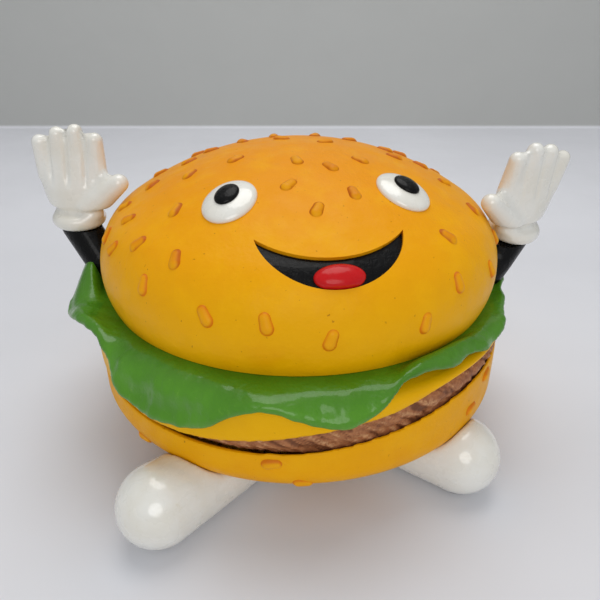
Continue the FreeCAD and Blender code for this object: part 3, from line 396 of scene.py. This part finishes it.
# Noise scales that draw a metal's lines along one axis
along_x = (1, 12, 12)
along_z = (12, 12, 1)
looks = {
    "seed_paint": seed_paint(),
    "lettuce_green": lettuce_paint(),
    "cheese_yellow": cheese_paint(),
    "patty_brown": patty_paint(),
    "white_gloss": white_paint(),
    "black_gloss": black_paint(),
    "tongue_red": red_paint(),
    "plate_tan": moulding("plate_tan_look", srgb(190, 143, 82), srgb(196, 150, 90), 0.42, 0.58),
    "key_ivory": moulding("key_ivory_look", srgb(236, 230, 212), srgb(228, 220, 198), 0.34, 0.48),
    "black_plastic": moulding("black_plastic_look", srgb(26, 26, 27), srgb(38, 38, 38), 0.38, 0.55),
    "rubber_grey": moulding("rubber_grey_look", srgb(62, 62, 64), srgb(78, 77, 76), 0.65, 0.85,
                            grain=0.4 * MM, depth=0.05 * MM),
    "steel": metal("steel_look", srgb(168, 168, 170), srgb(188, 188, 190), 0.34, 0.48, along_x),
    "board_green": board_paint(),
    "microphone_can": metal("microphone_can_look", srgb(196, 196, 200), srgb(214, 214, 216), 0.2, 0.34, along_z),
}
# Heights between which each bun half turns from its first colour to its second
top_turn = (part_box("top_bun")[0].z + 16 * MM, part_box("top_bun")[1].z + 8 * MM)
bottom_turn = (14 * MM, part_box("bottom_bun")[1].z)
own_looks = {
    "top_bun": bun_paint("bun_top_look", srgb(236, 172, 0), srgb(234, 150, 8), *top_turn),
    # The bottom bun is darker and more orange towards the bottom
    "bottom_bun": bun_paint("bun_bottom_look", srgb(234, 158, 0), srgb(238, 168, 0), *bottom_turn),
}


def look_of(node):
    return own_looks.get(node) or looks[slot_of[node]]


for node, cad_piece in nodes.items():
    cad_piece.data.materials.clear()
    cad_piece.data.materials.append(look_of(node))


# Pieces with softened, hand-finished forms

weld_distance = 0.001 * MM
coarse_voxel = 0.8 * MM
middle_voxel = 0.7 * MM
fine_voxel = 0.45 * MM


def evaluated(piece):
    """The piece's mesh with its modifiers applied."""
    bpy.context.view_layer.update()
    graph = bpy.context.evaluated_depsgraph_get()
    return bpy.data.meshes.new_from_object(piece.evaluated_get(graph))


def placed(name, mesh, node):
    """A piece in place of a CAD node, with that node's material and body."""
    piece = added(name, mesh)
    mesh.materials.clear()
    mesh.materials.append(look_of(node))
    for face in mesh.polygons:
        face.use_smooth = True
    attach(piece, body_of[node])
    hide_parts(node)


def welded(mesh):
    """Editable form of a mesh with its doubled points joined."""
    form = bmesh.new()
    form.from_mesh(mesh)
    bmesh.ops.remove_doubles(form, verts=form.verts, dist=weld_distance)
    return form


def softened(node, voxel, rounds, closing=0.0):
    """Even mesh of a CAD node with its edges rounded over and hollows narrower than the closing filled."""
    mesh = nodes[node].data.copy()
    form = welded(mesh)
    form.to_mesh(mesh)
    form.free()
    piece = added("form", mesh)
    for swell in ((closing, -closing) if closing else (0.0,)):
        remesh = piece.modifiers.new("even", "REMESH")
        remesh.mode = "VOXEL"
        remesh.voxel_size = voxel
        if swell:
            push = piece.modifiers.new("swell", "DISPLACE")
            push.mid_level = 0.0
            push.strength = swell
    smooth = piece.modifiers.new("soft", "SMOOTH")
    smooth.factor = 0.5
    smooth.iterations = rounds
    result = evaluated(piece)
    bpy.data.objects.remove(piece)
    return result


def moved(mesh, shift):
    """Moves each point by what shift gives for its place and normal."""
    mesh.update()
    points = [(vertex.co.copy(), vertex.normal.copy()) for vertex in mesh.vertices]
    for vertex, (place, normal) in zip(mesh.vertices, points):
        vertex.co = place + shift(place, normal)
    mesh.update()


def ring_place(place):
    """Azimuth from the front and radius of a point."""
    return math.atan2(place.x, -place.y), math.hypot(place.x, place.y)


def sector_of(azimuth, count):
    """Which of count equal sectors, from the back round to the back, an azimuth lies in."""
    return int((azimuth / math.tau + 0.5) * count) % count


def rise_and_fall(value, first, full, fade, last):
    """Smooth step up from first to full and down again from fade to last."""
    up = clamped((value - first) / (full - first))
    down = clamped((last - value) / (last - fade))
    share = min(up, down)
    return share * share * (3 - 2 * share)


def bell(value, middle, half_width):
    return math.exp(-((value - middle) / half_width) ** 2)


# Lettuce

leaf_root = 65.5 * MM
# Folds of the outer face: waves round the leaf and up it, layer of the noise, depth
leaf_folds = ((9, 60, 3.0, 1.2 * MM), (26, 120, 8.0, 0.4 * MM))
# Azimuths in degrees between which the leaf bends, radius of full effect, outward and upward shift:
# a lower drape on the right, a tuck behind it and a lower drape on the left
leaf_bends = (
    ((22, 40, 50, 70), 69.0 * MM, 1.7 * MM, -4.2 * MM),
    ((64, 82, 122, 140), 72.0 * MM, -3.2 * MM, 2.6 * MM),
    ((-120, -102, -74, -54), 72.5 * MM, 1.5 * MM, -4.0 * MM),
)
# Beside the left arm the leaf's upper side climbs the bun
climb_azimuths = (-122, -102, -84, -68)
climb_radii = (65.3 * MM, 68.0 * MM, 68.5 * MM, 78.0 * MM)
climb_rise = 10.5 * MM
# Rolled lower edge and the hollow above it, as heights above the edge
leaf_sectors = 120
far_above = 1.0
bead_height = 2.0 * MM
bead_half = 1.7 * MM
bead_out = 0.9 * MM
hollow_height = 6.5 * MM
hollow_half = 2.6 * MM
hollow_in = 0.6 * MM
# Past its radius of full effect a bend grows up to this share
most_bend = 1.2


def edge_heights(mesh):
    """Height of the leaf's lower edge in each sector."""
    heights = [far_above] * leaf_sectors
    for vertex in mesh.vertices:
        azimuth, radius = ring_place(vertex.co)
        if radius > leaf_root:
            sector = sector_of(azimuth, leaf_sectors)
            heights[sector] = min(heights[sector], vertex.co.z)
    return heights


def edge_at(azimuth):
    """Height of the leaf's lower edge, between the middles of the sectors."""
    turn = (azimuth / math.tau + 0.5) * leaf_sectors - 0.5
    first = math.floor(turn)
    share = turn - first
    return (1 - share) * leaf_edges[first % leaf_sectors] + share * leaf_edges[(first + 1) % leaf_sectors]


def ruffle(place, normal):
    """Rolled lower edge, soft folds on the outer face, and the leaf's bends and climb."""
    azimuth, radius = ring_place(place)
    degrees = math.degrees(azimuth)
    above = place.z - edge_at(azimuth)
    relief = bead_out * bell(above, bead_height, bead_half) - hollow_in * bell(above, hollow_height, hollow_half)
    for round_waves, up_waves, layer, depth in leaf_folds:
        relief += depth * noise.noise(Vector((azimuth * round_waves, place.z * up_waves, layer)))
    out = Vector((place.x, place.y, 0)) / radius
    shift = normal * max(normal.dot(out), 0) * relief
    for azimuths, full_radius, outward, upward in leaf_bends:
        share = clamped((radius - leaf_root) / (full_radius - leaf_root), high=most_bend)
        share *= rise_and_fall(degrees, *azimuths)
        shift += out * outward * share + Vector((0, 0, upward * share ** 2))
    upper_side = clamped(normal.z + 0.5)
    climb = upper_side * rise_and_fall(degrees, *climb_azimuths) * rise_and_fall(radius, *climb_radii)
    return shift + Vector((0, 0, climb_rise * climb))


lettuce_mesh = softened("lettuce", middle_voxel, 12)
leaf_edges = edge_heights(lettuce_mesh)
moved(lettuce_mesh, ruffle)
placed("lettuce_leaf", lettuce_mesh, "lettuce")


# Cheese

cheese_top_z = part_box("cheese")[1].z
cheese_skirt = 66.5 * MM
lift_azimuths = (18, 40, 76, 100)
lift_share = 0.55


def lifted(place, normal):
    """Shorter cheese skirt on the right."""
    azimuth, radius = ring_place(place)
    if radius < cheese_skirt:
        return Vector((0, 0, 0))
    hang = cheese_top_z - place.z
    return Vector((0, 0, hang * lift_share * rise_and_fall(math.degrees(azimuth), *lift_azimuths)))


cheese_mesh = softened("cheese", middle_voxel, 10)
moved(cheese_mesh, lifted)
placed("cheese_slice", cheese_mesh, "cheese")


# Bowl

crease_angle = math.radians(32)
bowl_join_z = 26 * MM
bowl_overlap = 0.4 * MM


def capped_half(mesh, cut_z, keep_above):
    """Closed half of a mesh cut level at cut_z, as an editable form with its creases marked."""
    form = welded(mesh)
    everything = form.verts[:] + form.edges[:] + form.faces[:]
    cut = bmesh.ops.bisect_plane(form, geom=everything, plane_co=(0, 0, cut_z), plane_no=(0, 0, 1),
                                 clear_inner=keep_above, clear_outer=not keep_above)
    edges = [item for item in cut["geom_cut"] if isinstance(item, bmesh.types.BMEdge)]
    bmesh.ops.triangle_fill(form, edges=edges, use_beauty=True)
    bmesh.ops.recalc_face_normals(form, faces=form.faces)
    for edge in form.edges:
        edge.smooth = edge.calc_face_angle(0.0) < crease_angle
    return form


def soft_rimmed_bowl():
    """The bowl with the rim rounded over. Below the join it is the exact solid."""
    mesh = bpy.data.meshes.new("bowl")
    upper = capped_half(softened("bottom_bun", middle_voxel, 10), bowl_join_z - bowl_overlap, True)
    upper.to_mesh(mesh)
    upper.free()
    whole = capped_half(nodes["bottom_bun"].data, bowl_join_z, False)
    whole.from_mesh(mesh)
    whole.to_mesh(mesh)
    whole.free()
    return mesh


placed("bowl_shell", soft_rimmed_bowl(), "bottom_bun")


# Patty

patty_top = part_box("patty")[1]
patty_skin = 3 * MM
patty_bulge = 1.7 * MM
carve_depth = 0.8 * MM
# Carved strokes: slant, waves per millimetre round the patty and up it, layer of the noise, share of the depth
patty_strokes = ((1.3, 0.5, 0.16, 1.0, 0.9), (0.8, 1.1, 0.3, 6.0, 0.5))
rim_sectors = 60
rim_inner = 64 * MM


def rim_heights():
    """Height of the bowl's rim in each sector, or in the higher of the sectors beside it."""
    heights = [0.0] * rim_sectors
    for vertex in nodes["bottom_bun"].data.vertices:
        azimuth, radius = ring_place(vertex.co)
        if radius > rim_inner:
            sector = sector_of(azimuth, rim_sectors)
            heights[sector] = max(heights[sector], vertex.co.z)
    return [max(heights[i - 1], heights[i], heights[(i + 1) % rim_sectors]) for i in range(rim_sectors)]


bowl_rims = rim_heights()


def on_patty_side(place):
    return ring_place(place)[1] > patty_top.x - patty_skin


def stroke_depth(place):
    """How deep the strokes cut at a point, from 0 to 1."""
    if not on_patty_side(place):
        return 0.0
    along = ring_place(place)[0] * patty_top.x / MM
    rise = place.z / MM
    depth = 0.5
    for slant, round_waves, up_waves, layer, share in patty_strokes:
        depth += share * noise.noise(Vector(((along + slant * rise) * round_waves, rise * up_waves, layer)))
    return clamped(depth)


def carve(place, normal):
    """Bulging side above the bowl's rim, with slanted carved strokes."""
    if not on_patty_side(place):
        return Vector((0, 0, 0))
    azimuth = ring_place(place)[0]
    rim = bowl_rims[sector_of(azimuth, rim_sectors)]
    height = clamped((place.z - rim) / (patty_top.z - rim))
    swell = patty_bulge * math.sqrt(math.sin(math.pi * height))
    return Vector((math.sin(azimuth), -math.cos(azimuth), 0)) * (swell - carve_depth * stroke_depth(place))


patty_mesh = softened("patty", middle_voxel, 3)
carving_values = patty_mesh.attributes.new(carving_name, "FLOAT", "POINT")
carving_values.data.foreach_set("value", [stroke_depth(vertex.co) for vertex in patty_mesh.vertices])
moved(patty_mesh, carve)
placed("patty_disc", patty_mesh, "patty")


# Gloves and feet

# Distance of the cuff from the middle and its height in millimetres, lean, nod and turn in degrees
hands = {"left": (73.2, 70.7, -2.0, 0.0, 4.0), "right": (71.8, 67.4, 4.0, 12.0, 22.0)}
hand_y = -1.0 * MM
finger_pitch = 5.53 * MM
finger_spread = 0.06
palm_top = 14.0 * MM
hand_top = 31.0 * MM
groove_half = 0.75 * MM
groove_depth = {"left": 0.9 * MM, "right": 0.4 * MM}
groove_run = 4 * MM
cuff_roll = 2.7 * MM
cuff_swell = 0.5 * MM
cuff_groove_z = 6.0 * MM
cuff_groove_half = 1.1 * MM
cuff_groove_depth = 1.3 * MM


def hand_frame(side):
    """Frame of a hand, as in the solids: origin at the cuff, Z along the fingers, the thumb towards the burger."""
    outwards, rise, lean, nod, turn = hands[side]
    turned = Matrix.Rotation(math.radians(-lean), 4, "Y") @ Matrix.Rotation(math.radians(nod), 4, "X")
    turned = turned @ Matrix.Rotation(math.radians(-turn), 4, "Z")
    return Matrix.Translation((-outwards * MM, hand_y, rise * MM)) @ turned


def glove(side):
    """Mitt with shallow grooves between its fingers and a groove above its rolled cuff."""
    mesh = softened("glove_" + side, fine_voxel, 5, closing=1.5 * MM)
    to_hand = hand_frame(side).inverted()
    mirror = 1 if side == "left" else -1

    def groove(place, normal):
        local = to_hand @ Vector((place.x * mirror, place.y, place.z))
        past_palm = local.z - palm_top
        pitch = finger_pitch * (1 + finger_spread * past_palm / (hand_top - palm_top))
        between = sum(bell(local.x, step * pitch, groove_half) for step in (-1, 0, 1))
        fingers = groove_depth[side] * between * clamped(past_palm / groove_run)
        roll = cuff_swell * bell(local.z, cuff_roll, cuff_roll)
        waist = cuff_groove_depth * bell(local.z, cuff_groove_z, cuff_groove_half)
        return normal * (roll - waist - fingers)

    moved(mesh, groove)
    return mesh


for side in ("left", "right"):
    placed("mitt_" + side, glove(side), "glove_" + side)
    placed("boot_" + side, softened("foot_" + side, coarse_voxel, 8), "foot_" + side)


# Key legends

def legend_look():
    """Matt dark brown ink."""
    paint = Paint("legend_print")
    paint.colour(paint.mix(paint.noise(1.2 * MM), srgb(40, 34, 30), srgb(58, 50, 44)))
    paint.rough(0.45, 0.6, 1 * MM)
    return paint.material


legend_print = legend_look()
legend_height = 4.2 * MM
font_size = 1.4 * legend_height
legend_thickness = 0.06 * MM


def on_key(name, mesh, key):
    """Lays a flat printed sign on a key's top."""
    low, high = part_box(key)
    mesh.materials.clear()
    mesh.materials.append(legend_print)
    piece = added(name, mesh)
    xs = [vertex.co.x for vertex in mesh.vertices]
    ys = [vertex.co.y for vertex in mesh.vertices]
    middle = Vector(((min(xs) + max(xs)) / 2, (min(ys) + max(ys)) / 2, 0))
    spot = Vector(((low.x + high.x) / 2, (low.y + high.y) / 2, high.z))
    for vertex in mesh.vertices:
        vertex.co += spot - middle
    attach(piece, key)


def sign_mesh(sign):
    """Flat mesh of one printed character."""
    curve = bpy.data.curves.new("sign", "FONT")
    curve.body = sign
    curve.size = font_size
    curve.extrude = legend_thickness
    text = added("sign", curve)
    mesh = evaluated(text)
    bpy.data.objects.remove(text)
    return mesh


def symbol_mesh(polygons):
    """Flat symbol from outlines in shares of the legend height."""
    mesh = bpy.data.meshes.new("symbol")
    form = bmesh.new()
    for outline in polygons:
        rows = []
        for z in (-legend_thickness, legend_thickness):
            rows.append([form.verts.new((x * legend_height, y * legend_height, z)) for x, y in outline])
        form.faces.new(reversed(rows[0]))
        form.faces.new(rows[1])
        for i in range(len(outline)):
            j = (i + 1) % len(outline)
            form.faces.new((rows[0][i], rows[0][j], rows[1][j], rows[1][i]))
    form.to_mesh(mesh)
    form.free()
    return mesh


for digit in range(10):
    on_key("legend_%d" % digit, sign_mesh(str(digit)), "key_%d" % digit)
on_key("legend_star", sign_mesh("*"), "key_star")
on_key("legend_hash", sign_mesh("#"), "key_hash")
triangle = ((0.0, -0.3), (0.5, 0.0), (0.0, 0.3))
second_triangle = tuple((x + 0.55, y) for x, y in triangle)
diamond = ((0.0, -0.3), (0.3, 0.0), (0.0, 0.3), (-0.3, 0.0))
on_key("legend_redial", symbol_mesh((triangle, second_triangle)), "key_redial")
on_key("legend_flash", symbol_mesh((diamond,)), "key_flash")


# Floor, light and camera

def cove_paint():
    """Matt pale grey floor, and painted shade on the wall: a darker grey where the sheet turns up."""
    # Painted shade of the wall
    wall = srgb(186, 187, 184)
    paint = Paint("backdrop")
    floor = paint.mix(paint.patches(160 * MM), srgb(226, 227, 232), srgb(220, 221, 226))
    paint.colour(paint.mix(paint.spread(paint.axis("Z"), 0.5 * MM, 4 * MM), floor, wall))
    paint.rough(0.7, 0.9, 50 * MM)
    paint.bump((paint.noise(50 * MM, detail=2.0), 1.2 * MM))
    return paint.material


def cove():
    """Floor that turns up into a back wall."""
    half_width = 2.0
    wall_y = 0.53
    fold = 4 * MM
    fold_steps = 6
    section = [(-2.0, 0.0), (-0.6, 0.0), (0.2, 0.0), (wall_y - fold, 0.0)]
    for step in range(1, fold_steps + 1):
        angle = math.radians(90 * step / fold_steps)
        section.append((wall_y - fold + fold * math.sin(angle), fold - fold * math.cos(angle)))
    section += [(wall_y, 0.3), (wall_y, 1.2)]
    mesh = bpy.data.meshes.new("cove")
    points = [(x, y, z) for y, z in section for x in (-half_width, half_width)]
    faces = [(2 * i, 2 * i + 1, 2 * i + 3, 2 * i + 2) for i in range(len(section) - 1)]
    mesh.from_pydata(points, [], faces)
    mesh.materials.append(cove_paint())
    return added("cove", mesh)


cove()


lamp_colour = (1.0, 0.99, 0.97)


def lamp(name, place, target, size, power):
    """Round soft lamp aimed at a target."""
    light = bpy.data.lights.new(name, "AREA")
    light.shape = "DISK"
    light.size = size
    light.energy = power
    light.color = lamp_colour
    piece = added(name, light)
    piece.location = place
    piece.rotation_euler = (Vector(target) - Vector(place)).to_track_quat("-Z", "Y").to_euler()


lamp("top_lamp", (0.02, 0.16, 0.75), (0, 0, 0.04), size=0.6, power=2.5)
lamp("front_lamp", (0.04, -0.72, 0.45), (0, 0, 0.05), size=0.5, power=1.7)

world = bpy.data.worlds.new("studio")
bpy.context.scene.world = world
world.use_nodes = True
sky = world.node_tree.nodes["Background"]
sky.inputs["Color"].default_value = (0.94, 0.96, 1.0, 1.0)
sky.inputs["Strength"].default_value = 0.5

# Camera fitted to the photo
camera = bpy.data.cameras.new("camera")
camera.sensor_width = 36
camera.lens = 33.6
viewer = added("camera", camera)
viewer.location = (0.38 * MM, -179.03 * MM, 136.70 * MM)
viewer.rotation_euler = (math.radians(62), 0, 0)
bpy.context.scene.camera = viewer
bpy.context.scene.view_settings.view_transform = "Standard"
